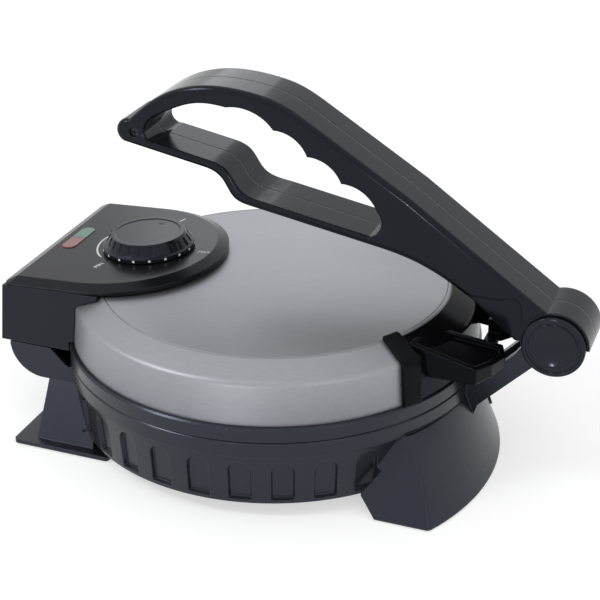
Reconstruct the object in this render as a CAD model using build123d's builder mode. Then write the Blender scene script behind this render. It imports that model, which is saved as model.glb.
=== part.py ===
from build123d import *
from math import cos, degrees, radians, sin, sqrt, tan
import os

os.makedirs("parts", exist_ok=True)

# Electric roti maker, lid closed and press handle raised. Millimetres, +Z up, -Y towards the user.
# The origin is on the worktop, under the middle of the box that the product fills.

# Clearances
moving_gap = 0.4  # between two bodies that pass each other
running_fit = 0.05  # radial, hinge pin and control shaft in what turns on them
seam_gap = 0.4  # closed lid ring above the base rim
cover_gap = 0.3  # between mouldings that are laid against curved sheet or mouldings
seat_gap = 0.1  # between a piece and the curved face that carries it
screw_fit = 0.1  # radial, screw shank in its hole

# Roti plates
plate_centre_y = -19.5
plate_radius = 101.5
plate_thickness = 6.0
plate_rim_gap = 0.7
plate_nip = 0.6
plate_edge_radius = 1.2
plate_boss_radius = 4.0
plate_boss_ring = 30.0
plate_boss_count = 3
plate_ledge_width = 5.0
plate_ledge_thickness = 2.5

# Base moulding
rim_width = 16.1
rim_radius = plate_radius + rim_width
rim_top = 47.6
rim_band = 9.2
rim_chamfer = 1.0
rim_overhang = 1.4
bowl_batter = 2.6
bowl_bottom = 8.8
bowl_wall = 3.4
floor_ledge_width = 6.0
floor_ledge_thickness = 2.0
floor_recess = 2.2
flute_count = 32
flute_width = 10.6
flute_depth = 2.2
flute_draft = 24.0
flute_top = 34.0
flute_bottom = 11.6
flute_first_angle = 44.2
flute_last_angle = 134.2

plate_ledge_radius = plate_radius - plate_ledge_width
bowl_top_radius = rim_radius - rim_overhang
bowl_bottom_radius = bowl_top_radius - bowl_batter
bowl_front_y = plate_centre_y - rim_radius
bowl_back_y = plate_centre_y + rim_radius

# Front cradle and front foot of the base
cradle_half_width = 62.8
cradle_front_y = bowl_front_y - 20.2
cradle_top = 49.8
cradle_radius = 19.7
cradle_notch_y = bowl_front_y + 5.6
cradle_notch_depth = 10.0
cradle_wall = 2.6
cradle_joint = 0.5
post_top_half_width = 62.8
post_top_front_y = bowl_front_y + 3.6
post_top_back_y = bowl_front_y + 33.1
post_foot_half_width = 85.5
post_foot_front_y = bowl_front_y + 5.6
post_foot_back_y = bowl_front_y + 41.1
front_plate_front_y = bowl_front_y - 6.7
front_plate_back_y = bowl_front_y + 52.6
front_plate_half_width = 89.5
front_plate_thickness = 2.4
front_plate_corner = 2.5

# Rear foot of the base; its curved wall stands out most beside the hinge arm, on the +X side
rear_top_z = 39.0
rear_top_half_width = 66.0
rear_top_corner_y = bowl_back_y - 18.1
rear_top_crest_y = bowl_back_y + 0.1
rear_waist_z = 18.0
rear_waist_half_width = 79.0
rear_waist_corner_y = bowl_back_y - 4.9
rear_waist_crest_y = bowl_back_y + 8.6
rear_waist_far_y = bowl_back_y - 28.0
rear_ground_half_width = 90.5
rear_ground_corner_y = bowl_back_y + 2.2
rear_ground_crest_y = bowl_back_y + 19.1
rear_ground_far_y = bowl_back_y - 42.0
rear_crest_x = 28.0
rear_front_y = bowl_back_y - 52.0
rear_toe_y = bowl_back_y - 27.4
rear_heel_y = bowl_back_y - 37.0
rear_heel_rise = 1.0
rear_skirt_wall = 2.8
rear_corner_radius = 4.0
pad_radius = 7.0
pad_height = 2.6
pad_stand_out = 0.8
pad_post_rise = 4.0
rear_pad_x = 52.0
rear_pad_y = bowl_back_y - 19.1
front_pad_x = 76.0
front_pad_y = bowl_front_y + 0.1

# Hinge
hinge_y = bowl_back_y + 45.4
hinge_z = 80.0
pin_radius = 4.0
cap_radius = 17.1
cap_thickness = 2.2
cap_groove_radius = 13.9
cap_groove_width = 1.8
cap_groove_depth = 0.9
cap_dish_radius = 10.8
cap_dish_depth = 1.3
cap_edge_radius = 0.9

# Hinge arm of the base
cheek_half_width = 13.2
cheek_knuckle_radius = 12.5
arm_root_y = bowl_back_y - 3.1
arm_line_y = bowl_back_y + 2.4
arm_line_top = 46.0
arm_tip_y = bowl_back_y + 3.0
arm_tip_z = 25.2
arm_heel_y = bowl_back_y + 5.9
arm_heel_z = 34.5
arm_end_y = bowl_back_y + 24.4
arm_end_top = 69.0
fork_root_y = bowl_back_y + 10.9
fork_root_z = 29.0
fork_length = 60.0
fork_height = 80.0

# Cord entry
cord_bush_x = -36.0
cord_bush_z = 12.0
cord_bush_radius = 6.0
cord_bush_flange = 1.8
cord_bush_flange_thickness = 2.0
cord_bore_radius = 3.6
cord_bush_y = bowl_back_y - 3.1
cord_bush_turn = 23.9
cord_bush_rise = 17.8
cord_bush_reach = 4.5

# Lid
ring_top = 55.9
ring_seat_z = 54.4
ring_lip = 1.0
ring_step = 2.6
ring_shelf_width = 3.0
steel_thickness = 0.8
steel_draft = 2.3
steel_bevel_width = 14.5
steel_shoulder_z = 79.0
steel_groove_z = 86.1
steel_groove_depth = 0.7
steel_groove_width = 1.6
steel_dome_z = 87.3
steel_shoulder_fillet = 3.4

steel_skirt_radius = rim_radius - ring_step
steel_shoulder_radius = steel_skirt_radius - steel_draft
steel_groove_radius = steel_shoulder_radius - steel_bevel_width

# Lid bracket
saddle_half_angle = 33.7
saddle_thickness = 1.4
pilaster_start_angle = 28.0
pilaster_thickness = 2.4
collar_margin = 2.3
lug_margin = -0.9
wing_front_y = bowl_back_y - 38.1
wing_inner_front_x = 26.0
wing_inner_back_x = 15.0
wing_outer_x = 49.5
wing_back_x = 25.0
wing_corner_y = bowl_back_y + 12.4
wing_back_y = bowl_back_y + 21.6
wing_back_fall = 4.0
wing_corner_width = 11.0
wing_bottom = 67.5
wing_top_y = bowl_back_y - 25.0
wing_top_front = 82.3
wing_top_slope = 10.4
wing_wall = 2.4
wing_tray_depth = 4.0
tongue_half_width = 7.2
tongue_knuckle_radius = 11.0
tongue_front_y = bowl_back_y + 7.9
tongue_front_top = 84.5
tongue_front_bottom = 73.0
tongue_waist_y = bowl_back_y + 15.2
tongue_waist_z = 72.6
tongue_neck_y = bowl_back_y + 22.0
tongue_neck_z = 76.5
yoke_back_y = bowl_back_y + 14.4
yoke_bottom = 73.0
yoke_top = 77.0
yoke_half_width = 19.0
bracket_screw_angles = (-24.0, -16.5, 16.5, 24.0)
bracket_screw_z = 71.0
bracket_screw_sink = 0.2
bracket_screw_reach = 8.0

# Control housing, all carried by the lid
panel_slope = 3.0
underside_slope = 2.1
panel_front_y = bowl_front_y - 21.9
panel_front_z = 85.0
panel_half_width = 62.6
panel_arc_centre_y = bowl_front_y + 21.4
panel_edge = 0.8
panel_rise = 2.8
panel_bevel_angle = 66.0
panel_corner = 6.0
panel_depth = 4.0
housing_bottom = 50.6
housing_front_y = bowl_front_y - 25.4
housing_back_y = bowl_front_y + 37.1
housing_wall = 2.4
boss_radius = 4.0
boss_x = 52.0
boss_front_y = bowl_front_y - 12.9
boss_back_y = bowl_front_y + 5.1
boss_screw_engagement = 1.2
boss_screw_tip_gap = 0.4

# Knob, thermostat and signal lamps
knob_y = bowl_front_y + 39.0
knob_skirt_radius = 26.6
knob_skirt_height = 3.0
knob_skirt_edge = 0.6
knob_shoulder_radius = 25.0
knob_top_radius = 21.6
knob_height = 9.6
knob_flutes = 24
knob_flute_width = 2.6
knob_flute_depth = 0.8
knob_wall = 2.2
knob_stand_off = 0.5
knob_rim_width = 2.4
knob_dish_depth = 0.4
knob_dish_slope = 0.8
shaft_radius = 3.0
shaft_foot = -17.0
shaft_bush_radius = 5.0
shaft_hole_radius = 5.6
thermostat_top = -11.0
thermostat_height = 11.0
thermostat_length = 30.0
thermostat_width = 24.0
thermostat_corner = 2.0
thermostat_bush_top = -6.2
thermostat_foot_y = knob_y + 1.6
thermostat_foot_length = 24.0
thermostat_foot_width = 16.0
thermostat_foot_height = 10.0
window_x = -1.1
window_y = bowl_front_y - 7.4
window_length = 31.0
window_width = 8.8
lens_height = 3.0
lens_proud = 0.6
lens_split = 0.6
lamp_radius = 2.6
lamp_length = 12.0

# Press handle, drawn at its raised stop
handle_half_width = 18.8
handle_edge_radius = 3.0
loop_edge_radius = 1.4
hub_radius = 18.8
hub_inner_radius = 16.2
hub_half_width = 16.8
hub_side_wall = 3.2
hub_disc_radius = 17.0
hub_recess_radius = 20.4
side_recess_depth = 1.2
handle_screw_radius = 1.5
handle_screw_head_radius = 2.6
handle_screw_head_depth = 2.2
handle_screw_length = 12.0
handle_socket_depth = 4.0
cross_recess_length = 3.2
cross_recess_width = 0.8
cross_recess_depth = 1.0

# Heating and wiring
element_radius = 3.2
element_coil_radius = 66.0
element_lead_length = 14.0
element_gap_angle = 30.0
lead_hole_margin = 1.0
shield_sheet = 0.8
shield_depth = 6.0
shield_slope_width = 5.5
shield_ledge_overlap = 3.0
shield_flange_gap = 0.5
floor_sheet = 1.2
vent_ring = 55.0
vent_count = 10
vent_length = 26.0
vent_width = 5.0
cover_screw_count = 4
cover_screw_first_angle = 45.0
cover_screw_reach = 3.0
small_screw_radius = 1.5
small_screw_head_radius = 3.0
small_screw_head_height = 1.8
terminal_x = -30.0
terminal_y = bowl_back_y - 48.1
terminal_length = 30.0
terminal_width = 16.0
terminal_height = 10.0
terminal_hole_radius = 2.0
terminal_hole_depth = 4.0
terminal_pitch_x = 9.0
terminal_pitch_y = 8.0

ground = pad_stand_out
plate_axis = Axis((0, plate_centre_y, 0), (0, 0, 1))
bowl_plane = Plane(origin=(0, plate_centre_y, 0), x_dir=(1, 0, 0), z_dir=(0, -1, 0))
panel_normal = (0, -sin(radians(panel_slope)), cos(radians(panel_slope)))
panel_plane = Plane(origin=(0, panel_front_y, panel_front_z), x_dir=(1, 0, 0), z_dir=panel_normal)
panel_top = panel_plane.offset(panel_edge + panel_rise)
panel_tan = tan(radians(panel_slope))


def along_panel(y):
    """Distance up the sloping panel from its front edge to the given y."""
    return (y - panel_front_y) / cos(radians(panel_slope))


def underside_at(y):
    """Height of the panel's underside at the given y."""
    return panel_front_z + (y - panel_front_y) * tan(radians(underside_slope))


def from_hinge(y, z):
    """A point of the side view given from the hinge axis."""
    return (hinge_y + y, hinge_z + z)


def in_ring(angle, radius, z):
    """A place round the plates, with the angle measured from the hinge side."""
    return (radius * sin(radians(angle)), plate_centre_y + radius * cos(radians(angle)), z)


# ---------------------------------------------------------------- base housing
rim_bore = plate_radius + plate_rim_gap
plate_seat_z = rim_top + (seam_gap - plate_nip) / 2 - plate_thickness
ledge_bottom_z = plate_seat_z - plate_ledge_thickness
wall_slope = (bowl_top_radius - bowl_bottom_radius) / (rim_top - rim_band - bowl_bottom)
floor_z = bowl_bottom + floor_recess
inner_bottom_radius = bowl_bottom_radius - bowl_wall
floor_ledge_radius = inner_bottom_radius - floor_ledge_width
cover_screw_ring = floor_ledge_radius + floor_ledge_width / 2

with BuildPart() as bowl_body:
    with BuildSketch(bowl_plane):
        Polygon(
            (0, bowl_bottom),
            (bowl_bottom_radius, bowl_bottom),
            (bowl_top_radius, rim_top - rim_band),
            (rim_radius, rim_top - rim_band),
            (rim_radius, rim_top - rim_chamfer),
            (rim_radius - rim_chamfer, rim_top),
            (0, rim_top),
            align=None,
        )
    revolve(axis=plate_axis)

with BuildPart() as bowl_cavity:
    with BuildSketch(bowl_plane):
        Polygon(
            (0, bowl_bottom),
            (inner_bottom_radius, bowl_bottom),
            (inner_bottom_radius, floor_z),
            (floor_ledge_radius, floor_z),
            (floor_ledge_radius, floor_z + floor_ledge_thickness),
            (inner_bottom_radius, floor_z + floor_ledge_thickness),
            (bowl_top_radius - bowl_wall, ledge_bottom_z),
            (plate_ledge_radius, ledge_bottom_z),
            (plate_ledge_radius, plate_seat_z),
            (rim_bore, plate_seat_z),
            (rim_bore, rim_top),
            (0, rim_top),
            align=None,
        )
    revolve(axis=plate_axis)

rear_levels = (
    (rear_top_z, rear_top_half_width, rear_top_corner_y, 0.0, rear_top_crest_y, rear_top_corner_y),
    (
        rear_waist_z,
        rear_waist_half_width,
        rear_waist_corner_y,
        rear_crest_x,
        rear_waist_crest_y,
        rear_waist_far_y,
    ),
    (
        ground,
        rear_ground_half_width,
        rear_ground_corner_y,
        rear_crest_x,
        rear_ground_crest_y,
        rear_ground_far_y,
    ),
)


def rear_outline(level, inset):
    """Outline of the rear foot at one height, drawn in by the inset."""
    z, half_width, corner_y, crest_x, crest_y, far_y = level
    left = (-half_width + inset, far_y - inset)
    right = (half_width - inset, corner_y - inset)
    with BuildSketch(Plane.XY.offset(z)) as outline:
        with BuildLine():
            ThreePointArc(left, (crest_x, crest_y - inset), right)
            Polyline(right, (half_width - inset, rear_front_y), (-half_width + inset, rear_front_y), left)
        make_face()
    return outline.sketch


# The cord bush stands square to the sloping wall at the back of the rear foot
cord_bush_outward = (
    -sin(radians(cord_bush_turn)) * cos(radians(cord_bush_rise)),
    cos(radians(cord_bush_turn)) * cos(radians(cord_bush_rise)),
    sin(radians(cord_bush_rise)),
)
cord_bush_plane = Plane(
    origin=(cord_bush_x, cord_bush_y, cord_bush_z),
    x_dir=(cos(radians(cord_bush_turn)), sin(radians(cord_bush_turn)), 0),
    z_dir=cord_bush_outward,
)

with BuildPart() as rear_foot:
    for level in rear_levels:
        add(rear_outline(level, 0.0))
    loft()
    tall_edges = rear_foot.edges().filter_by(lambda edge: edge.bounding_box().size.Z > rear_waist_z)
    corner_edges = tall_edges.filter_by(lambda edge: edge.center().Y > rear_front_y + rear_corner_radius)
    fillet(corner_edges, rear_corner_radius)
    with BuildSketch(Plane.YZ):
        Polygon(
            (rear_front_y, ground),
            (rear_toe_y, ground),
            (rear_heel_y, bowl_bottom + rear_heel_rise),
            (rear_heel_y, rear_top_z),
            (rear_front_y, rear_top_z),
            align=None,
        )
    extrude(amount=2 * rear_ground_half_width, both=True, mode=Mode.SUBTRACT)

with BuildPart() as rear_foot_cavity:
    for level in rear_levels:
        add(rear_outline(level, rear_skirt_wall))
    loft()

with BuildPart() as front_post:
    with BuildSketch(Plane.XY.offset(ground)):
        with Locations((0, (post_foot_front_y + post_foot_back_y) / 2)):
            Rectangle(2 * post_foot_half_width, post_foot_back_y - post_foot_front_y)
    with BuildSketch(Plane.XY.offset(cradle_top - cradle_radius + cradle_joint)):
        with Locations((0, (post_top_front_y + post_top_back_y) / 2)):
            Rectangle(2 * post_top_half_width, post_top_back_y - post_top_front_y)
    loft()

with BuildPart() as front_post_cavity:
    with BuildSketch(Plane.XY.offset(ground)):
        with Locations((0, (post_foot_front_y + post_foot_back_y) / 2)):
            Rectangle(
                2 * (post_foot_half_width - cradle_wall),
                post_foot_back_y - post_foot_front_y - 2 * cradle_wall,
            )
    with BuildSketch(Plane.XY.offset(cradle_top - cradle_radius - cradle_wall)):
        with Locations((0, (post_top_front_y + post_top_back_y) / 2)):
            Rectangle(
                2 * (post_top_half_width - cradle_wall),
                post_top_back_y - post_top_front_y - 2 * cradle_wall,
            )
    loft()

with BuildPart() as base_housing:
    # Front cradle under the control housing, open above
    with BuildSketch(Plane.YZ):
        with BuildLine():
            cradle_floor_z = cradle_top - cradle_radius
            RadiusArc(
                (cradle_front_y, cradle_top),
                (cradle_front_y + cradle_radius, cradle_floor_z),
                -cradle_radius,
            )
            Polyline(
                (cradle_front_y + cradle_radius, cradle_floor_z),
                (post_top_back_y, cradle_floor_z),
                (post_top_back_y, cradle_top - cradle_notch_depth),
                (cradle_notch_y + cradle_notch_depth, cradle_top - cradle_notch_depth),
                (cradle_notch_y, cradle_top),
                (cradle_front_y, cradle_top),
            )
        make_face()
    extrude(amount=cradle_half_width, both=True)
    with BuildSketch(Plane.YZ):
        with BuildLine():
            inner_radius = cradle_radius - cradle_wall
            RadiusArc(
                (cradle_front_y + cradle_wall, cradle_top),
                (cradle_front_y + cradle_radius, cradle_top - inner_radius),
                -inner_radius,
            )
            Polyline(
                (cradle_front_y + cradle_radius, cradle_top - inner_radius),
                (post_top_back_y, cradle_top - inner_radius),
                (post_top_back_y, cradle_top),
                (cradle_front_y + cradle_wall, cradle_top),
            )
        make_face()
    extrude(amount=cradle_half_width - cradle_wall, both=True, mode=Mode.SUBTRACT)
    # Front foot: a hollow flared post on a flat plate
    add(front_post.part)
    with BuildSketch(Plane.XY.offset(ground)):
        with Locations((0, (front_plate_front_y + front_plate_back_y) / 2)):
            RectangleRounded(
                2 * front_plate_half_width, front_plate_back_y - front_plate_front_y, front_plate_corner
            )
    extrude(amount=front_plate_thickness)
    add(front_post_cavity.part, mode=Mode.SUBTRACT)
    # Rear foot: a hollow bulging skirt with two pad posts
    add(rear_foot.part)
    add(rear_foot_cavity.part, mode=Mode.SUBTRACT)
    with BuildSketch(Plane.XY.offset(ground)):
        with Locations((-rear_pad_x, rear_pad_y), (rear_pad_x, rear_pad_y)):
            Circle(pad_radius + cradle_wall)
    extrude(amount=bowl_bottom + pad_post_rise - ground)
    # Hinge arm: one root that forks into two cheeks, with a rib down the skirt
    with BuildSketch(Plane.YZ):
        Polygon(
            (arm_root_y, arm_line_top),
            (arm_line_y, arm_line_top),
            (arm_end_y, arm_end_top),
            from_hinge(-10.0, 6.0),
            from_hinge(0, 0),
            from_hinge(-2.0, -7.6),
            (arm_heel_y, arm_heel_z),
            (arm_tip_y, arm_tip_z),
            (arm_root_y, arm_tip_z),
            align=None,
        )
        with Locations((hinge_y, hinge_z)):
            Circle(cheek_knuckle_radius)
    extrude(amount=cheek_half_width, both=True)
    with BuildSketch(Plane.YZ):
        with Locations((fork_root_y, fork_root_z)):
            Rectangle(fork_length, fork_height, align=(Align.MIN, Align.MIN))
    extrude(amount=tongue_half_width + moving_gap, both=True, mode=Mode.SUBTRACT)
    # Bowl
    add(bowl_body.part)
    add(bowl_cavity.part, mode=Mode.SUBTRACT)
    # Arched flutes round both flanks
    flute_pitch = 360.0 / flute_count
    flute_total = round((flute_last_angle - flute_first_angle) / flute_pitch) + 1
    for side in (-1, 1):
        for index in range(flute_total):
            angle = side * (flute_first_angle + index * flute_pitch)
            outward = Vector(sin(radians(angle)), cos(radians(angle)), -wall_slope).normalized()
            tangent = Vector(-cos(radians(angle)), sin(radians(angle)), 0)
            foot = Vector(*in_ring(angle, bowl_bottom_radius - flute_depth, bowl_bottom))
            with BuildSketch(Plane(origin=foot, x_dir=tangent, z_dir=outward)):
                arch_rise = flute_top - flute_width / 2 - bowl_bottom
                sill_rise = flute_bottom - bowl_bottom
                with Locations((0, arch_rise)):
                    Circle(flute_width / 2)
                with Locations((0, (arch_rise + sill_rise) / 2)):
                    Rectangle(flute_width, arch_rise - sill_rise)
            extrude(amount=2 * flute_depth, taper=-flute_draft, mode=Mode.SUBTRACT)
    # Pad recesses, cover screw holes, cord hole and hinge pin bore
    pad_places = [(side * rear_pad_x, rear_pad_y) for side in (-1, 1)]
    pad_places += [(side * front_pad_x, front_pad_y) for side in (-1, 1)]
    with BuildSketch(Plane.XY.offset(ground)):
        with Locations(*pad_places):
            Circle(pad_radius)
    extrude(amount=pad_height - pad_stand_out, mode=Mode.SUBTRACT)
    with BuildSketch(Plane.XY.offset(bowl_bottom)):
        with Locations((0, plate_centre_y)):
            with PolarLocations(cover_screw_ring, cover_screw_count, cover_screw_first_angle):
                Circle(small_screw_radius + screw_fit)
    extrude(amount=floor_recess + floor_ledge_thickness, mode=Mode.SUBTRACT)
    with BuildSketch(cord_bush_plane):
        Circle(cord_bush_radius + seat_gap)
    extrude(amount=2 * cord_bush_reach, mode=Mode.SUBTRACT)
    with BuildSketch(Plane.YZ):
        with Locations((hinge_y, hinge_z)):
            Circle(pin_radius)
    extrude(amount=cheek_half_width, both=True, mode=Mode.SUBTRACT)
base_housing.part.label = "base_housing"
export_step(base_housing.part, "parts/base_housing.step")

with BuildPart() as rubber_feet:
    with BuildSketch(Plane.XY):
        with Locations(*pad_places):
            Circle(pad_radius)
    extrude(amount=pad_height)
rubber_feet.part.label = "rubber_feet"
export_step(rubber_feet.part, "parts/rubber_feet.step")

# ---------------------------------------------------------------- base floor and wiring
with BuildPart() as bottom_cover:
    with BuildSketch(Plane.XY.offset(floor_z - floor_sheet)):
        with Locations((0, plate_centre_y)):
            Circle(inner_bottom_radius - cover_gap)
            with PolarLocations(cover_screw_ring, cover_screw_count, cover_screw_first_angle):
                Circle(small_screw_radius + screw_fit, mode=Mode.SUBTRACT)
            with PolarLocations(vent_ring, vent_count):
                SlotOverall(vent_length, vent_width, mode=Mode.SUBTRACT)
    extrude(amount=floor_sheet)
bottom_cover.part.label = "bottom_cover"
export_step(bottom_cover.part, "parts/bottom_cover.step")

with BuildPart() as bottom_cover_screws:
    with BuildSketch(Plane.XY.offset(floor_z - floor_sheet - small_screw_head_height)):
        with Locations((0, plate_centre_y)):
            with PolarLocations(cover_screw_ring, cover_screw_count, cover_screw_first_angle):
                Circle(small_screw_head_radius)
    extrude(amount=small_screw_head_height)
    with BuildSketch(Plane.XY.offset(floor_z - floor_sheet)):
        with Locations((0, plate_centre_y)):
            with PolarLocations(cover_screw_ring, cover_screw_count, cover_screw_first_angle):
                Circle(small_screw_radius)
    extrude(amount=floor_sheet + floor_ledge_thickness + cover_screw_reach)
bottom_cover_screws.part.label = "bottom_cover_screws"
export_step(bottom_cover_screws.part, "parts/bottom_cover_screws.step")

with BuildPart() as terminal_block:
    with BuildSketch(Plane.XY.offset(floor_z)):
        with Locations((terminal_x, terminal_y)):
            Rectangle(terminal_length, terminal_width)
    extrude(amount=terminal_height)
    with BuildSketch(Plane.XY.offset(floor_z + terminal_height)):
        with Locations((terminal_x, terminal_y)):
            with GridLocations(terminal_pitch_x, terminal_pitch_y, 3, 2):
                Circle(terminal_hole_radius)
    extrude(amount=-terminal_hole_depth, mode=Mode.SUBTRACT)
terminal_block.part.label = "terminal_block"
export_step(terminal_block.part, "parts/terminal_block.step")

with BuildPart() as cord_bush:
    with BuildSketch(cord_bush_plane.offset(-cord_bush_flange_thickness)):
        Circle(cord_bush_radius + cord_bush_flange)
    extrude(amount=cord_bush_flange_thickness)
    with BuildSketch(cord_bush_plane):
        Circle(cord_bush_radius)
    extrude(amount=cord_bush_reach)
    with BuildSketch(cord_bush_plane.offset(-cord_bush_flange_thickness)):
        Circle(cord_bore_radius)
    extrude(amount=cord_bush_flange_thickness + cord_bush_reach, mode=Mode.SUBTRACT)
cord_bush.part.label = "cord_bush"
export_step(cord_bush.part, "parts/cord_bush.step")

# ---------------------------------------------------------------- plates, elements and heat shields


def heating_element(z, lead_direction):
    """Tubular element: an open ring with an upright lead at each end."""
    half_gap = element_gap_angle / 2
    with BuildPart() as element:
        with BuildSketch(bowl_plane) as tube:
            with Locations((element_coil_radius, z)):
                Circle(element_radius)
        revolve(axis=plate_axis, revolution_arc=360.0 - element_gap_angle)
        ends = (0.0, 360.0 - element_gap_angle)
        for end in ends:
            x = element_coil_radius * cos(radians(end))
            y = plate_centre_y + element_coil_radius * sin(radians(end))
            with BuildSketch(Plane.XY.offset(z - lead_direction * element_radius)):
                with Locations((x, y)):
                    Circle(element_radius)
            extrude(amount=lead_direction * element_lead_length)
    return element.part.rotate(plate_axis, 90.0 + half_gap)


def lead_places():
    """Where the two leads of an element cross a sheet, seen from above."""
    places = []
    for side in (-1, 1):
        angle = radians(90.0 + side * element_gap_angle / 2)
        places.append((element_coil_radius * cos(angle), plate_centre_y + element_coil_radius * sin(angle)))
    return places


def heat_shield(flange_z, floor_direction):
    """Pressed dish that keeps the heat on the plate, with holes for the leads."""
    step = floor_direction * shield_depth
    sheet = floor_direction * shield_sheet
    slope_top = plate_ledge_radius - shield_ledge_overlap
    slope_foot = slope_top - shield_slope_width
    flange_radius = plate_radius - shield_flange_gap
    with BuildPart() as shield:
        with BuildSketch(bowl_plane):
            Polygon(
                (0, flange_z + step),
                (slope_foot, flange_z + step),
                (slope_top, flange_z),
                (flange_radius, flange_z),
                (flange_radius, flange_z + sheet),
                (slope_top + shield_sheet / 2, flange_z + sheet),
                (slope_foot + shield_sheet / 2, flange_z + step + sheet),
                (0, flange_z + step + sheet),
                align=None,
            )
        revolve(axis=plate_axis)
        with BuildSketch(Plane.XY.offset(flange_z)):
            with Locations(*lead_places()):
                Circle(element_radius + lead_hole_margin)
        extrude(amount=step + 2 * sheet, mode=Mode.SUBTRACT)
    return shield.part


upper_plate_z = plate_seat_z + plate_thickness + plate_nip
with BuildPart() as lower_plate:
    with BuildSketch(Plane.XY.offset(plate_seat_z)):
        with Locations((0, plate_centre_y)):
            Circle(plate_radius)
    extrude(amount=plate_thickness)
    fillet(lower_plate.faces().sort_by(Axis.Z)[-1].edges(), plate_edge_radius)
    with BuildSketch(Plane.XY.offset(plate_seat_z)):
        with Locations((0, plate_centre_y)):
            with PolarLocations(plate_boss_ring, plate_boss_count):
                Circle(plate_boss_radius)
    extrude(amount=-(plate_seat_z - floor_z))
lower_plate.part.label = "lower_plate"
export_step(lower_plate.part, "parts/lower_plate.step")

lower_element_z = plate_seat_z - seat_gap - element_radius
lower_element = heating_element(lower_element_z, -1)
lower_element.label = "lower_element"
export_step(lower_element, "parts/lower_element.step")

with BuildPart() as lower_shield:
    add(heat_shield(ledge_bottom_z, -1))
    with BuildSketch(Plane.XY.offset(ledge_bottom_z)):
        with Locations((0, plate_centre_y)):
            with PolarLocations(plate_boss_ring, plate_boss_count):
                Circle(plate_boss_radius + cover_gap)
    extrude(amount=-3 * shield_depth, mode=Mode.SUBTRACT)
lower_shield.part.label = "lower_shield"
export_step(lower_shield.part, "parts/lower_shield.step")

upper_plate_top = upper_plate_z + plate_thickness
with BuildPart() as upper_plate:
    with BuildSketch(Plane.XY.offset(upper_plate_z)):
        with Locations((0, plate_centre_y)):
            Circle(plate_radius)
    extrude(amount=plate_thickness)
    fillet(upper_plate.faces().sort_by(Axis.Z)[0].edges(), plate_edge_radius)
upper_plate.part.label = "upper_plate"
export_step(upper_plate.part, "parts/upper_plate.step")

upper_element_z = upper_plate_top + seat_gap + element_radius
upper_element = heating_element(upper_element_z, 1)
upper_element.label = "upper_element"
export_step(upper_element, "parts/upper_element.step")

# ---------------------------------------------------------------- lid
ring_bottom = rim_top + seam_gap
ring_shelf_z = upper_plate_top + plate_ledge_thickness
with BuildPart() as lid_ring:
    with BuildSketch(bowl_plane):
        Polygon(
            (rim_bore, ring_bottom),
            (rim_radius, ring_bottom),
            (rim_radius, ring_top - ring_lip),
            (rim_radius - ring_lip, ring_top),
            (steel_skirt_radius + cover_gap, ring_top),
            (steel_skirt_radius + cover_gap, ring_seat_z),
            (steel_skirt_radius - ring_shelf_width, ring_seat_z),
            (steel_skirt_radius - ring_shelf_width, ring_shelf_z),
            (plate_ledge_radius, ring_shelf_z),
            (plate_ledge_radius, upper_plate_top),
            (rim_bore, upper_plate_top),
            align=None,
        )
    revolve(axis=plate_axis)
lid_ring.part.label = "lid_ring"
export_step(lid_ring.part, "parts/lid_ring.step")

upper_shield = heat_shield(ring_shelf_z, 1)
upper_shield.label = "upper_shield"
export_step(upper_shield, "parts/upper_shield.step")

knob_axis_plane = Plane(
    origin=(0, knob_y, panel_top.origin.Z + (knob_y - panel_top.origin.Y) * panel_tan),
    x_dir=(1, 0, 0),
    z_dir=panel_normal,
)
cover_wall_slope = (steel_skirt_radius - steel_shoulder_radius) / (steel_shoulder_z - ring_seat_z)
bracket_screw_radius = steel_skirt_radius - (bracket_screw_z - ring_seat_z) * cover_wall_slope


def bracket_screw_plane(angle, depth):
    """Plane against the cover's wall, facing out towards the bracket."""
    normal = Vector(sin(radians(angle)), cos(radians(angle)), cover_wall_slope).normalized()
    tangent = Vector(-cos(radians(angle)), sin(radians(angle)), 0)
    origin = Vector(*in_ring(angle, bracket_screw_radius, bracket_screw_z)) - normal * depth
    return Plane(origin=origin, x_dir=tangent, z_dir=normal)


def bracket_shanks(radius, start_depth, length):
    """The four shanks, or the holes for them, through the cover into the bracket."""
    with BuildPart() as shanks:
        for angle in bracket_screw_angles:
            with BuildSketch(bracket_screw_plane(angle, start_depth)):
                Circle(radius)
            extrude(amount=length)
    return shanks.part


def cover_solid(offset):
    """The steel cover's outside shape as a solid, moved outwards by the offset."""
    skirt_foot = (steel_skirt_radius + offset, ring_seat_z)
    shoulder = (steel_shoulder_radius + offset, steel_shoulder_z + 0.4 * offset)
    groove = (steel_groove_radius + 0.4 * offset, steel_groove_z + offset)
    crown = (0, steel_dome_z + offset)
    quarter = (groove[0] / 2, crown[1] - (crown[1] - groove[1]) / 4)
    with BuildPart() as solid:
        with BuildSketch(bowl_plane):
            with BuildLine():
                Polyline(crown, (0, ring_seat_z), skirt_foot, shoulder, groove)
                ThreePointArc(groove, quarter, crown)
            make_face()
        revolve(axis=plate_axis)
        shoulder_edges = solid.edges().filter_by_position(Axis.Z, shoulder[1] - 0.1, shoulder[1] + 0.1)
        fillet(shoulder_edges, steel_shoulder_fillet + offset)
    return solid.part


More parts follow.
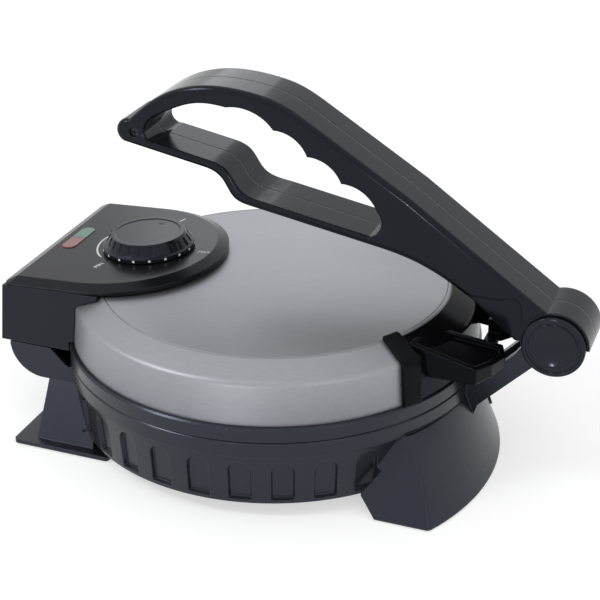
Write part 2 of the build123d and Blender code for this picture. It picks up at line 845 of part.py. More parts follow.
with BuildPart() as lid_cover:
    add(cover_solid(0.0))
    add(cover_solid(-steel_thickness), mode=Mode.SUBTRACT)
    with BuildSketch(bowl_plane):
        Polygon(
            (steel_groove_radius, steel_dome_z),
            (steel_groove_radius - steel_groove_width, steel_dome_z),
            (steel_groove_radius - steel_groove_width / 2, steel_groove_z - steel_groove_depth),
            align=None,
        )
    revolve(axis=plate_axis, mode=Mode.SUBTRACT)
    with BuildSketch(knob_axis_plane):
        Circle(shaft_hole_radius)
    extrude(amount=-2 * shaft_hole_radius, mode=Mode.SUBTRACT)
    shank_bore = small_screw_radius + screw_fit
    add(bracket_shanks(shank_bore, bracket_screw_reach / 2, bracket_screw_reach), mode=Mode.SUBTRACT)
lid_cover.part.label = "lid_cover"
export_step(lid_cover.part, "parts/lid_cover.step")

# ---------------------------------------------------------------- lid bracket
cover_envelope = cover_solid(cover_gap)
with BuildPart() as ring_envelope:
    with BuildSketch(Plane.XY.offset(ring_bottom - 1.0)):
        with Locations((0, plate_centre_y)):
            Circle(rim_radius + cover_gap)
    extrude(amount=ring_top + cover_gap - ring_bottom + 1.0)


def rear_sector(start_angle, end_angle):
    """Wedge seen from above, with its angles measured from the hinge side."""
    reach = 2 * rim_radius
    corners = [(0, plate_centre_y)]
    for step in range(5):
        angle = start_angle + (end_angle - start_angle) * step / 4
        corners.append(in_ring(angle, reach, 0)[:2])
    with BuildPart() as sector:
        with BuildSketch(Plane.XY):
            Polygon(*corners, align=None)
        extrude(amount=3 * hinge_z)
    return sector.part


collar_inner_radius = steel_groove_radius + collar_margin
lug_inner_radius = steel_groove_radius + lug_margin
with BuildPart() as saddle:
    add(cover_solid(cover_gap + saddle_thickness))
    add(rear_sector(-saddle_half_angle, saddle_half_angle), mode=Mode.INTERSECT)
    with BuildSketch(Plane.XY.offset(ring_seat_z)):
        with Locations((0, plate_centre_y)):
            Circle(collar_inner_radius)
    extrude(amount=hinge_z, mode=Mode.SUBTRACT)

with BuildPart() as saddle_edges:
    add(cover_solid(cover_gap + pilaster_thickness))
    add(rear_sector(pilaster_start_angle, saddle_half_angle), mode=Mode.INTERSECT)
    with BuildSketch(Plane.XY.offset(ring_seat_z)):
        with Locations((0, plate_centre_y)):
            Circle(lug_inner_radius)
    extrude(amount=hinge_z, mode=Mode.SUBTRACT)
    mirror(about=Plane.YZ)


def wing_outline(inset):
    """One wing seen from above, drawn in by the inset at its sides and back."""
    corner_x = wing_outer_x - inset
    return (
        (wing_inner_front_x + inset, wing_front_y),
        (corner_x, wing_front_y),
        (corner_x, wing_corner_y - inset / 2),
        (corner_x - wing_corner_width, wing_back_y - wing_back_fall + inset / 2 - inset),
        (wing_back_x, wing_back_y - inset),
        (wing_inner_back_x + inset, wing_back_y - wing_back_fall - inset / 2),
    )


def on_wing_top(point):
    """A place seen from above, measured on the sloping top of the wings."""
    return (point[0], (point[1] - wing_top_y) / cos(radians(wing_top_slope)))


wing_top_plane = Plane(
    origin=(0, wing_top_y, wing_top_front),
    x_dir=(1, 0, 0),
    z_dir=(0, sin(radians(wing_top_slope)), cos(radians(wing_top_slope))),
)
with BuildPart() as lid_bracket:
    # Two wings that run together towards the hinge, with a tray in each top
    with BuildSketch(Plane.XY.offset(wing_bottom)):
        Polygon(*wing_outline(0.0), align=None)
        mirror(about=Plane.YZ)
    extrude(amount=2 * (wing_top_front - wing_bottom))
    with BuildSketch(wing_top_plane):
        Rectangle(4 * wing_outer_x, 4 * wing_outer_x)
    extrude(amount=hinge_z, mode=Mode.SUBTRACT)
    with BuildSketch(wing_top_plane):
        Polygon(*[on_wing_top(point) for point in wing_outline(wing_wall)], align=None)
        mirror(about=Plane.YZ)
    extrude(amount=-wing_tray_depth, mode=Mode.SUBTRACT)
    # Saddle and collar against the cover, thicker along the two edges
    add(saddle.part)
    add(saddle_edges.part)
    # Yoke between the wings and tongue to the hinge pin
    with BuildSketch(Plane.XY.offset(yoke_bottom)):
        with Locations((0, (tongue_front_y + yoke_back_y) / 2)):
            Rectangle(2 * yoke_half_width, yoke_back_y - tongue_front_y)
    extrude(amount=yoke_top - yoke_bottom)
    with BuildSketch(Plane.YZ):
        Polygon(
            (tongue_front_y, tongue_front_bottom),
            (tongue_front_y, tongue_front_top),
            from_hinge(-8.0, 7.6),
            from_hinge(0, 0),
            from_hinge(-5.0, -9.8),
            (tongue_neck_y, tongue_neck_z),
            (tongue_waist_y, tongue_waist_z),
            align=None,
        )
        with Locations((hinge_y, hinge_z)):
            Circle(tongue_knuckle_radius)
    extrude(amount=tongue_half_width, both=True)
    with BuildSketch(Plane.YZ):
        with Locations((hinge_y, hinge_z)):
            Circle(pin_radius + running_fit)
    extrude(amount=tongue_half_width, both=True, mode=Mode.SUBTRACT)
    add(cover_envelope, mode=Mode.SUBTRACT)
    add(ring_envelope.part, mode=Mode.SUBTRACT)
    add(bracket_shanks(shank_bore, 0.0, bracket_screw_reach + screw_fit), mode=Mode.SUBTRACT)
lid_bracket.part.label = "lid_bracket"
export_step(lid_bracket.part, "parts/lid_bracket.step")

# ---------------------------------------------------------------- control housing
boss_screw_length = underside_at(boss_back_y) + boss_screw_engagement - housing_bottom
boss_places = [(side * boss_x, y) for side in (-1, 1) for y in (boss_front_y, boss_back_y)]
with BuildPart() as control_box:
    with BuildSketch(Plane.YZ):
        Polygon(
            (housing_front_y, housing_bottom),
            (panel_front_y, panel_front_z),
            (housing_back_y, underside_at(housing_back_y)),
            (housing_back_y, housing_bottom),
            align=None,
        )
    extrude(amount=cradle_half_width, both=True)
    with BuildSketch(Plane.YZ):
        Polygon(
            (housing_front_y + housing_wall, housing_bottom + housing_wall),
            (panel_front_y + housing_wall, panel_front_z + panel_depth),
            (housing_back_y, underside_at(housing_back_y) + panel_depth),
            (housing_back_y, housing_bottom + housing_wall),
            align=None,
        )
    extrude(amount=cradle_half_width - housing_wall, both=True, mode=Mode.SUBTRACT)
    with BuildSketch(Plane.XY.offset(housing_bottom)):
        with Locations(*boss_places):
            Circle(boss_radius)
    extrude(amount=underside_at(boss_front_y - boss_radius) - housing_bottom)
    with BuildSketch(Plane.XY.offset(housing_bottom)):
        with Locations(*boss_places):
            Circle(small_screw_radius + screw_fit)
    extrude(amount=2 * boss_screw_length, mode=Mode.SUBTRACT)
    add(cover_envelope, mode=Mode.SUBTRACT)
    add(ring_envelope.part, mode=Mode.SUBTRACT)
control_box.part.label = "control_box"
export_step(control_box.part, "parts/control_box.step")

arc_centre = along_panel(panel_arc_centre_y)


def panel_outline(inset):
    """Panel outline on the sloping plane: square at the front, round at the back."""
    half_width = panel_half_width - inset
    with BuildSketch(Plane.XY) as outline:
        with BuildLine():
            Polyline(
                (-half_width, arc_centre),
                (-half_width, inset),
                (half_width, inset),
                (half_width, arc_centre),
            )
            ThreePointArc((half_width, arc_centre), (0, arc_centre + half_width), (-half_width, arc_centre))
        make_face()
        front_corners = outline.vertices().group_by(Axis.Y)[0]
        fillet(front_corners, max(panel_corner - inset, 1.0))
    return outline.sketch


window_centre = (window_x, along_panel(window_y))
underside_normal = (0, -sin(radians(underside_slope)), cos(radians(underside_slope)))
underside_plane = Plane(
    origin=(0, panel_front_y, panel_front_z), x_dir=(1, 0, 0), z_dir=underside_normal
)
with BuildPart() as control_panel:
    with BuildSketch(panel_plane.offset(-panel_depth)):
        add(panel_outline(0.0))
    extrude(amount=panel_depth + panel_edge)
    with BuildSketch(panel_plane.offset(panel_edge)):
        add(panel_outline(0.0))
    with BuildSketch(panel_plane.offset(panel_edge + panel_rise)):
        add(panel_outline(panel_rise * tan(radians(panel_bevel_angle))))
    loft()
    with BuildSketch(underside_plane):
        Rectangle(4 * panel_half_width, 8 * panel_half_width)
    extrude(amount=-3 * panel_depth, mode=Mode.SUBTRACT)
    with BuildSketch(panel_plane.offset(-panel_depth)):
        with Locations(window_centre):
            SlotOverall(window_length, window_width)
        with Locations((0, along_panel(knob_y))):
            Circle(shaft_radius + moving_gap)
    extrude(amount=2 * panel_depth + panel_edge + panel_rise, mode=Mode.SUBTRACT)
    with BuildSketch(Plane.XY.offset(housing_bottom)):
        with Locations(*boss_places):
            Circle(small_screw_radius + screw_fit)
    extrude(amount=boss_screw_length + boss_screw_tip_gap, mode=Mode.SUBTRACT)
control_panel.part.label = "control_panel"
export_step(control_panel.part, "parts/control_panel.step")

with BuildPart() as panel_screws:
    with BuildSketch(Plane.XY.offset(housing_bottom - small_screw_head_height)):
        with Locations(*boss_places):
            Circle(small_screw_head_radius)
    extrude(amount=small_screw_head_height)
    with BuildSketch(Plane.XY.offset(housing_bottom)):
        with Locations(*boss_places):
            Circle(small_screw_radius)
    extrude(amount=boss_screw_length)
panel_screws.part.label = "panel_screws"
export_step(panel_screws.part, "parts/panel_screws.step")


def lens(side):
    """One half of the window, red on the right and green on the left."""
    with BuildPart() as half:
        with BuildSketch(panel_top.offset(-lens_height)):
            with Locations(window_centre):
                SlotOverall(window_length - 2 * seat_gap, window_width - 2 * seat_gap)
            with Locations((window_x - side * (window_length - lens_split) / 2, window_centre[1])):
                Rectangle(window_length, window_width, mode=Mode.SUBTRACT)
        extrude(amount=lens_height + lens_proud)
        fillet(half.faces().sort_by(Axis.Z)[-1].edges(), lens_proud * 0.8)
    return half.part


for name, side in (("red_lens", 1), ("green_lens", -1)):
    piece = lens(side)
    piece.label = name
    export_step(piece, f"parts/{name}.step")

with BuildPart() as indicator_lamps:
    with BuildSketch(panel_top.offset(-lens_height - seat_gap)):
        with Locations(window_centre):
            with GridLocations(window_length / 2, 1.0, 2, 1):
                Circle(lamp_radius)
    extrude(amount=-lamp_length)
indicator_lamps.part.label = "indicator_lamps"
export_step(indicator_lamps.part, "parts/indicator_lamps.step")

# ---------------------------------------------------------------- knob and thermostat
knob_axis = Axis(knob_axis_plane.origin, panel_normal)
knob_section = Plane(
    origin=knob_axis_plane.origin,
    x_dir=(1, 0, 0),
    z_dir=(0, -cos(radians(panel_slope)), -sin(radians(panel_slope))),
)
skirt_top = knob_stand_off + knob_skirt_height
bevel_run = knob_shoulder_radius - knob_top_radius
bevel_rise = knob_height - skirt_top
shaft_top = knob_height - knob_wall - knob_dish_depth
with BuildPart() as thermostat_knob:
    with BuildSketch(knob_section):
        Polygon(
            (0, knob_stand_off),
            (knob_skirt_radius, knob_stand_off),
            (knob_skirt_radius, skirt_top - knob_skirt_edge),
            (knob_shoulder_radius, skirt_top),
            (knob_top_radius, knob_height),
            (knob_top_radius - knob_rim_width, knob_height),
            (knob_top_radius - knob_rim_width - knob_dish_slope, knob_height - knob_dish_depth),
            (0, knob_height - knob_dish_depth),
            align=None,
        )
    revolve(axis=knob_axis)
    for index in range(knob_flutes):
        turn = radians(360.0 * index / knob_flutes)
        flute_plane = knob_axis_plane.rotated((0, 0, degrees(turn)))
        radial = flute_plane.x_dir
        upward = flute_plane.z_dir
        outward = radial * bevel_rise + upward * bevel_run
        foot = flute_plane.origin + radial * (knob_shoulder_radius - knob_flute_depth) + upward * skirt_top
        with BuildSketch(Plane(origin=foot, x_dir=flute_plane.y_dir, z_dir=outward.normalized())):
            with Locations((0, bevel_rise * 0.55)):
                SlotOverall(bevel_rise * 0.9, knob_flute_width, rotation=90)
        extrude(amount=2 * knob_flute_depth, mode=Mode.SUBTRACT)
    with BuildSketch(knob_section):
        Polygon(
            (shaft_radius + knob_wall, knob_stand_off),
            (knob_skirt_radius - knob_wall, knob_stand_off),
            (knob_shoulder_radius - knob_wall - knob_skirt_edge, skirt_top),
            (knob_top_radius - knob_wall - knob_dish_slope, shaft_top),
            (shaft_radius + knob_wall, shaft_top),
            align=None,
        )
        Polygon(
            (0, knob_stand_off),
            (shaft_radius, knob_stand_off),
            (shaft_radius, shaft_top),
            (0, shaft_top),
            align=None,
        )
    revolve(axis=knob_axis, mode=Mode.SUBTRACT)
thermostat_knob.part.label = "thermostat_knob"
export_step(thermostat_knob.part, "parts/thermostat_knob.step")

with BuildPart() as thermostat_shaft:
    with BuildSketch(knob_axis_plane.offset(shaft_foot)):
        Circle(shaft_radius)
    extrude(amount=shaft_top - shaft_foot)
thermostat_shaft.part.label = "thermostat_shaft"
export_step(thermostat_shaft.part, "parts/thermostat_shaft.step")

with BuildPart() as thermostat_body:
    with BuildSketch(knob_axis_plane.offset(thermostat_top)):
        RectangleRounded(thermostat_length, thermostat_width, thermostat_corner)
    extrude(amount=-thermostat_height)
    with BuildSketch(knob_axis_plane.offset(thermostat_top)):
        Circle(shaft_bush_radius)
    extrude(amount=thermostat_bush_top - thermostat_top)
    with BuildSketch(Plane.XY.offset(ring_shelf_z + shield_depth + shield_sheet)):
        with Locations((0, thermostat_foot_y)):
            Rectangle(thermostat_foot_length, thermostat_foot_width)
    extrude(amount=thermostat_foot_height)
    with BuildSketch(knob_axis_plane.offset(shaft_foot - moving_gap)):
        Circle(shaft_radius + running_fit)
    extrude(amount=shaft_top - shaft_foot, mode=Mode.SUBTRACT)
thermostat_body.part.label = "thermostat_body"
export_step(thermostat_body.part, "parts/thermostat_body.step")

# ---------------------------------------------------------------- hinge pin and caps
with BuildPart() as hinge_pin:
    with BuildSketch(Plane.YZ.offset(-hub_half_width - moving_gap)):
        with Locations((hinge_y, hinge_z)):
            Circle(pin_radius)
    extrude(amount=2 * (hub_half_width + moving_gap))
hinge_pin.part.label = "hinge_pin"
export_step(hinge_pin.part, "parts/hinge_pin.step")

cap_inside = hub_half_width + moving_gap
with BuildPart() as pivot_caps:
    with BuildSketch(Plane.YZ.offset(cap_inside)):
        with Locations((hinge_y, hinge_z)):
            Circle(cap_radius)
    extrude(amount=cap_thickness)
    fillet(pivot_caps.faces().sort_by(Axis.X)[-1].edges(), cap_edge_radius)
    with BuildSketch(Plane.YZ.offset(cap_inside + cap_thickness)):
        with Locations((hinge_y, hinge_z)):
            Circle(cap_groove_radius + cap_groove_width / 2)
            Circle(cap_groove_radius - cap_groove_width / 2, mode=Mode.SUBTRACT)
    extrude(amount=-cap_groove_depth, mode=Mode.SUBTRACT)
    dish_ball_radius = (cap_dish_radius**2 + cap_dish_depth**2) / (2 * cap_dish_depth)
    with Locations((cap_inside + cap_thickness - cap_dish_depth + dish_ball_radius, hinge_y, hinge_z)):
        Sphere(dish_ball_radius, mode=Mode.SUBTRACT)
    mirror(about=Plane.YZ)
pivot_caps.part.label = "pivot_caps"
export_step(pivot_caps.part, "parts/pivot_caps.step")

# ---------------------------------------------------------------- press handle
with BuildSketch(Plane.YZ) as handle_outline:
    with BuildLine():
        Spline(
            from_hinge(-241.7, 95.2),
            from_hinge(-221, 111.4),
            from_hinge(-194, 119.4),
            from_hinge(-164.6, 117.4),
            from_hinge(-140.6, 107.8),
            tangents=((1.0, 0.95), (1.0, -0.6)),
        )
        Polyline(
            from_hinge(-140.6, 107.8),
            from_hinge(-81, 71.2),
            from_hinge(6.5, 10),
            from_hinge(0, 0),
            from_hinge(-20.8, -0.5),
            from_hinge(-37.8, 13.4),
        )
        Polyline(from_hinge(-37.8, 13.4), from_hinge(-43, 18.3), from_hinge(-59.5, 28.1))
        Spline(
            from_hinge(-59.5, 28.1),
            from_hinge(-77.5, 36.2),
            from_hinge(-97, 41),
            tangents=((-1.0, 0.55), (-1.0, 0.18)),
        )
        Line(from_hinge(-97, 41), from_hinge(-167.1, 53.4))
        Spline(
            from_hinge(-167.1, 53.4),
            from_hinge(-180, 57.6),
            from_hinge(-185.8, 66),
            from_hinge(-196.8, 72.9),
            tangents=((-1.0, 0.17), (-1.0, 0.2)),
        )
        Line(from_hinge(-196.8, 72.9), from_hinge(-245.2, 81.9))
        ThreePointArc(from_hinge(-245.2, 81.9), from_hinge(-249.3, 88.2), from_hinge(-241.7, 95.2))
    make_face()

with BuildSketch(Plane.YZ) as finger_loop:
    with BuildLine():
        Spline(
            from_hinge(-231.9, 90.9),
            from_hinge(-221.4, 101),
            from_hinge(-205.5, 108),
            from_hinge(-183.5, 108.8),
            tangents=((0.3, 1.0), (1.0, -0.15)),
        )
        ThreePointArc(from_hinge(-183.5, 108.8), from_hinge(-167.1, 107.4), from_hinge(-156.5, 99.3))
        ThreePointArc(from_hinge(-156.5, 99.3), from_hinge(-144.3, 95.6), from_hinge(-137.6, 87))
        ThreePointArc(from_hinge(-137.6, 87), from_hinge(-125.1, 83.2), from_hinge(-118.4, 74.6))
        ThreePointArc(from_hinge(-118.4, 74.6), from_hinge(-105.9, 71), from_hinge(-98.3, 61.6))
        ThreePointArc(from_hinge(-98.3, 61.6), from_hinge(-95.9, 53.6), from_hinge(-101.9, 47))
        Line(from_hinge(-101.9, 47), from_hinge(-158.5, 57.2))
        Spline(
            from_hinge(-158.5, 57.2),
            from_hinge(-175.9, 62.6),
            from_hinge(-182.3, 71.6),
            from_hinge(-193.5, 77.6),
            tangents=((-1.0, 0.17), (-1.0, 0.2)),
        )
        Line(from_hinge(-193.5, 77.6), from_hinge(-225.5, 83.6))
        ThreePointArc(from_hinge(-225.5, 83.6), from_hinge(-231.3, 86.4), from_hinge(-231.9, 90.9))
    make_face()


near_screw_place = from_hinge(-238.3, 88.1)
far_screw_places = (from_hinge(-91.5, 58.0), from_hinge(-39.5, 28.0))


screw_seat = handle_half_width - handle_socket_depth
screw_sides = ((1, (near_screw_place,)), (-1, far_screw_places))


def handle_shanks(radius, head_radius, extra):
    """The three handle screws, or the sockets for them, in the two halves."""
    with BuildPart() as shanks:
        for side, places in screw_sides:
            with BuildSketch(Plane.YZ.offset(side * screw_seat)):
                with Locations(*places):
                    Circle(radius)
            extrude(amount=-side * (screw_seat + handle_screw_length))
            with BuildSketch(Plane.YZ.offset(side * screw_seat)):
                with Locations(*places):
                    Circle(head_radius)
            extrude(amount=side * (handle_screw_head_depth + extra))
    return shanks.part


def handle_half(side):
    """One moulded half of the press handle, on the side of +X or of -X."""
    with BuildPart() as half:
        extrude(handle_outline.sketch, amount=handle_half_width)
        fillet(half.faces().sort_by(Axis.X)[-1].edges(), handle_edge_radius)
        extrude(finger_loop.sketch, amount=handle_half_width, mode=Mode.SUBTRACT)
        fillet(half.faces().sort_by(Axis.X)[-1].inner_wires()[0].edges(), loop_edge_radius)
        # Shallow recess in the side, ahead of the hub
        with BuildSketch(Plane.YZ.offset(handle_half_width - side_recess_depth)):
            Polygon(
                from_hinge(-46.5, 22.2),
                from_hinge(-30.3, 22.4),
                from_hinge(-23.5, 24.7),
                from_hinge(-19.0, 22.1),
                from_hinge(-17.7, 17.1),
                from_hinge(-17.3, 6.0),
                from_hinge(-24.0, -4.0),
                from_hinge(-50.0, 12.0),
                align=None,
            )
        extrude(amount=handle_edge_radius, mode=Mode.SUBTRACT)
        # Hub: a disc with a deeper hood over the back, top and front
        with BuildSketch(Plane.YZ):
            with Locations((hinge_y, hinge_z)):
                Circle(hub_disc_radius)
        extrude(amount=hub_half_width)
        with BuildSketch(Plane.YZ):
            with Locations((hinge_y, hinge_z)):
                Circle(hub_radius)
            with Locations((hinge_y, hinge_z)):
                below = (Align.CENTER, Align.MAX)
                Rectangle(3 * hub_radius, 2 * hub_radius, align=below, mode=Mode.SUBTRACT)
        extrude(amount=hub_half_width)
        # Room for the cap, the knuckles and the tongue
        with BuildSketch(Plane.YZ.offset(hub_half_width)):
            with Locations((hinge_y, hinge_z)):
                Circle(hub_recess_radius)
        extrude(amount=handle_half_width, mode=Mode.SUBTRACT)
        with BuildSketch(Plane.YZ):
            with Locations((hinge_y, hinge_z)):
                Circle(hub_inner_radius)
            Polygon(
                from_hinge(-46.0, 10.0),
                from_hinge(-40.0, 20.0),
                from_hinge(-10.0, 12.0),
                from_hinge(0, 0),
                from_hinge(24.0, 0),
                from_hinge(24.0, -24.0),
                from_hinge(-46.0, -24.0),
                align=None,
            )
        extrude(amount=hub_half_width - hub_side_wall, mode=Mode.SUBTRACT)
        with BuildSketch(Plane.YZ):
            with Locations((hinge_y, hinge_z)):
                Circle(pin_radius + running_fit)
        extrude(amount=hub_half_width, mode=Mode.SUBTRACT)
        if side < 0:
            mirror(about=Plane.YZ, mode=Mode.REPLACE)
        socket_radius = handle_screw_head_radius + screw_fit
        add(
            handle_shanks(handle_screw_radius + screw_fit, socket_radius, handle_socket_depth),
            mode=Mode.SUBTRACT,
        )
    return half.part


handle_near_half = handle_half(1)
handle_near_half.label = "handle_near_half"
export_step(handle_near_half, "parts/handle_near_half.step")

handle_far_half = handle_half(-1)
handle_far_half.label = "handle_far_half"
export_step(handle_far_half, "parts/handle_far_half.step")

head_depth = steel_thickness + bracket_screw_sink
with BuildPart() as bracket_screws:
    for angle in bracket_screw_angles:
        with BuildSketch(bracket_screw_plane(angle, head_depth)):
            Circle(small_screw_head_radius)
        extrude(amount=-small_screw_head_height)
    add(bracket_shanks(small_screw_radius, head_depth, bracket_screw_reach))
bracket_screws.part.label = "bracket_screws"
export_step(bracket_screws.part, "parts/bracket_screws.step")

with BuildPart() as handle_screws:
    add(handle_shanks(handle_screw_radius, handle_screw_head_radius, 0.0))
    for side, places in screw_sides:
        with BuildSketch(Plane.YZ.offset(side * (screw_seat + handle_screw_head_depth))):
            with Locations(*places):
                Rectangle(cross_recess_length, cross_recess_width)
                Rectangle(cross_recess_width, cross_recess_length)
        extrude(amount=-side * cross_recess_depth, mode=Mode.SUBTRACT)
handle_screws.part.label = "handle_screws"
export_step(handle_screws.part, "parts/handle_screws.step")
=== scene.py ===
import bmesh
import bpy
import math
from mathutils import Matrix, Vector


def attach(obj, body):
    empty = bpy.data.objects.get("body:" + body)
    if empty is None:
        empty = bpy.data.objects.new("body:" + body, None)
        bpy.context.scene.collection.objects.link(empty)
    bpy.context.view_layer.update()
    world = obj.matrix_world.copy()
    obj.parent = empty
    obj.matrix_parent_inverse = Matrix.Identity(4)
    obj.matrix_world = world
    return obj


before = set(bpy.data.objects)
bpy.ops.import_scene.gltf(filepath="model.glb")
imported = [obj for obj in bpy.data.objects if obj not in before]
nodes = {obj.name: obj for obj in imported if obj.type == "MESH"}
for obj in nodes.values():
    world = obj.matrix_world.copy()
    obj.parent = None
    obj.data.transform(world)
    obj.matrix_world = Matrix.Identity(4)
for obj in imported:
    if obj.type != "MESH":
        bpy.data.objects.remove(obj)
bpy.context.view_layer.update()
print("roti maker: solids loaded")

mm = 0.001


# shader sockets as values in expressions
class Wire:
    def __init__(self, tree, socket):
        self.tree = tree
        self.socket = socket

    def maths(self, operation, first, second):
        node = self.tree.nodes.new("ShaderNodeMath")
        node.operation = operation
        for slot, value in zip(node.inputs, (first, second)):
            if isinstance(value, Wire):
                self.tree.links.new(value.socket, slot)
            else:
                slot.default_value = value
        return Wire(self.tree, node.outputs[0])

    def __add__(self, other):
        return self.maths("ADD", self, other)

    def __radd__(self, other):
        return self.maths("ADD", other, self)

    def __sub__(self, other):
        return self.maths("SUBTRACT", self, other)

    def __rsub__(self, other):
        return self.maths("SUBTRACT", other, self)

    def __mul__(self, other):
        return self.maths("MULTIPLY", self, other)

    def __rmul__(self, other):
        return self.maths("MULTIPLY", other, self)

    def __truediv__(self, other):
        return self.maths("DIVIDE", self, other)

    def __rtruediv__(self, other):
        return self.maths("DIVIDE", other, self)

    def atMost(self, limit):
        return self.maths("MINIMUM", self, limit)


# the nodes of one material or of the sky
class NodeTree:
    def __init__(self, owner):
        owner.use_nodes = True
        self.tree = owner.node_tree

    def add(self, kind, settings, values, output=0):
        node = self.tree.nodes.new(kind)
        for label, value in settings.items():
            setattr(node, label, value)
        for label, value in values.items():
            if isinstance(value, Wire):
                self.tree.links.new(value.socket, node.inputs[label])
            else:
                node.inputs[label].default_value = value
        return Wire(self.tree, node.outputs[output])

    # 1 on rays that show a surface as it looks, 0 on rays that only carry its light
    def seenRays(self):
        camera, glossy, through = (
            self.add("ShaderNodeLightPath", {}, {}, label)
            for label in ("Is Camera Ray", "Is Glossy Ray", "Is Transmission Ray")
        )
        return (camera + glossy + through).atMost(1.0)


# one material with its Principled shader
class Finish(NodeTree):
    def __init__(self, name, **constants):
        self.material = bpy.data.materials.new(name)
        super().__init__(self.material)
        self.shader = self.tree.nodes["Principled BSDF"]
        for label, value in constants.items():
            self.shader.inputs[label.replace("_", " ")].default_value = value

    def place(self):
        return self.add("ShaderNodeTexCoord", {}, {}, "Object")

    def axis(self, vector, number):
        return self.add("ShaderNodeSeparateXYZ", {}, {"Vector": vector}, number)

    def vectorMaths(self, operation, *vectors, output=0):
        return self.add("ShaderNodeVectorMath", {"operation": operation}, dict(enumerate(vectors)), output)

    def noise(self, vector, scale, detail, roughness=0.5):
        values = {"Vector": vector, "Scale": scale, "Detail": detail, "Roughness": roughness}
        return self.add("ShaderNodeTexNoise", {}, values)

    # the two colours are wires or plain triples
    def blend(self, factor, first, second):
        first, second = (colour if isinstance(colour, Wire) else (*colour, 1) for colour in (first, second))
        return self.add("ShaderNodeMix", {"data_type": "RGBA"}, {"Factor": factor, 6: first, 7: second}, 2)

    # goes from start to end while the value goes from low to high
    def ramp(self, value, low, high, start, end, shape="LINEAR"):
        values = {"Value": value, 1: low, 2: high, 3: start, 4: end}
        return self.add("ShaderNodeMapRange", {"interpolation_type": shape}, values)

    def drive(self, label, wire):
        self.tree.links.new(wire.socket, self.shader.inputs[label])

    # normal turned over a small radius, so that sharp edges catch the light
    def softEdge(self, radius):
        return self.add("ShaderNodeBevel", {"samples": 6}, {"Radius": radius})

    # 0 on open faces, rising towards 1 where the surface turns at an edge
    def edgeMask(self, soft, gain):
        straight = self.add("ShaderNodeNewGeometry", {}, {}, "Normal")
        along = self.vectorMaths("DOT_PRODUCT", soft, straight, output="Value")
        return ((1.0 - along) * gain).atMost(1.0)

    def bump(self, height, strength, distance, soft=None):
        values = {"Height": height, "Strength": strength, "Distance": distance}
        if soft is not None:
            values["Normal"] = soft
        self.drive("Normal", self.add("ShaderNodeBump", {}, values))


# bowl, plates and steel lid are all round about this place along y
plateCentreY = -19.5 * mm

# the saddle between the two upright edges of the lid bracket, painted paler and bluer as a painted sheen
paintedSheenPanelSizes = {
    "colour": (0.0150, 0.0185, 0.0260),
    "edgeAngle": math.radians(28.0),
    "angleBlend": 0.004,
    "topHeight": 67.5 * mm,
    "heightBlend": 1.0 * mm,
}


# where the painted sheen goes: inside the saddle's angle and below its top
def paintedSheenPanelMask(finish, spot, sizes):
    across = finish.axis(spot, 0)
    behind = finish.axis(spot, 1) - plateCentreY
    slope = math.tan(sizes["edgeAngle"]) ** 2
    blend = sizes["angleBlend"]
    inside = finish.ramp((across * across) / (behind * behind), slope - blend, slope + blend, 1.0, 0.0)
    top = sizes["topHeight"]
    return inside * finish.ramp(finish.axis(spot, 2), top - sizes["heightBlend"], top, 1.0, 0.0)


# glossy blue-black moulding: slight unevenness from the mould, edges painted paler, partly as wear and
# partly as a painted highlight
mouldingSizes = {
    "dark": (0.0055, 0.0060, 0.0085),
    "light": (0.0095, 0.0102, 0.0145),
    "wearAndPaintedHighlight": (0.060, 0.064, 0.080),
    "sheen": (0.74, 0.81, 1.0),
    "specular": 0.50,
    "roughness": 0.26,
    "roughnessDip": 0.06,
    "cloudRoughness": 0.08,
    "scuffRoughness": 0.05,
    "edgeRadius": 0.7 * mm,
    "edgeGain": 2.2,
    "cloud": (38.0, 3.0),  # each noise: scale, detail and, at times, roughness
    "grain": (2600.0, 1.0),
    "scuff": (260.0, 4.0, 0.65),
    "unevenness": 0.10,
    "seamHalfWidth": 0.28 * mm,
    "seamHeight": 2.0,
    "bumpStrength": 0.2,
    "bumpDepth": 0.1 * mm,
}


def moulding(name, sizes, seam=False):
    finish = Finish(name, IOR=1.5, Specular_IOR_Level=sizes["specular"], Specular_Tint=(*sizes["sheen"], 1))
    spot = finish.place()
    soft = finish.softEdge(sizes["edgeRadius"])
    cloud, grain, scuff = (finish.noise(spot, *sizes[kind]) for kind in ("cloud", "grain", "scuff"))
    body = finish.blend(cloud, sizes["dark"], sizes["light"])
    # painted sheen: a paler, bluer base colour on the saddle of the lid bracket
    if "paintedSheenPanel" in sizes:
        panel = sizes["paintedSheenPanel"]
        body = finish.blend(paintedSheenPanelMask(finish, spot, panel), body, panel["colour"])
    # paler edges: partly wear, partly a painted highlight along the edges
    edge = finish.edgeMask(soft, sizes["edgeGain"]) * scuff
    finish.drive("Base Color", finish.blend(edge, body, sizes["wearAndPaintedHighlight"]))
    smoothest = sizes["roughness"] - sizes["roughnessDip"]
    finish.drive("Roughness", smoothest + cloud * sizes["cloudRoughness"] + scuff * sizes["scuffRoughness"])
    height = grain * sizes["unevenness"] + cloud * sizes["unevenness"]
    if seam:
        across = finish.axis(spot, 0)
        nearSeam = finish.ramp(across * across, 0.0, sizes["seamHalfWidth"] ** 2, 0.0, 1.0, "SMOOTHSTEP")
        height = height + nearSeam * sizes["seamHeight"]
    finish.bump(height, sizes["bumpStrength"], sizes["bumpDepth"], soft)
    return finish.material


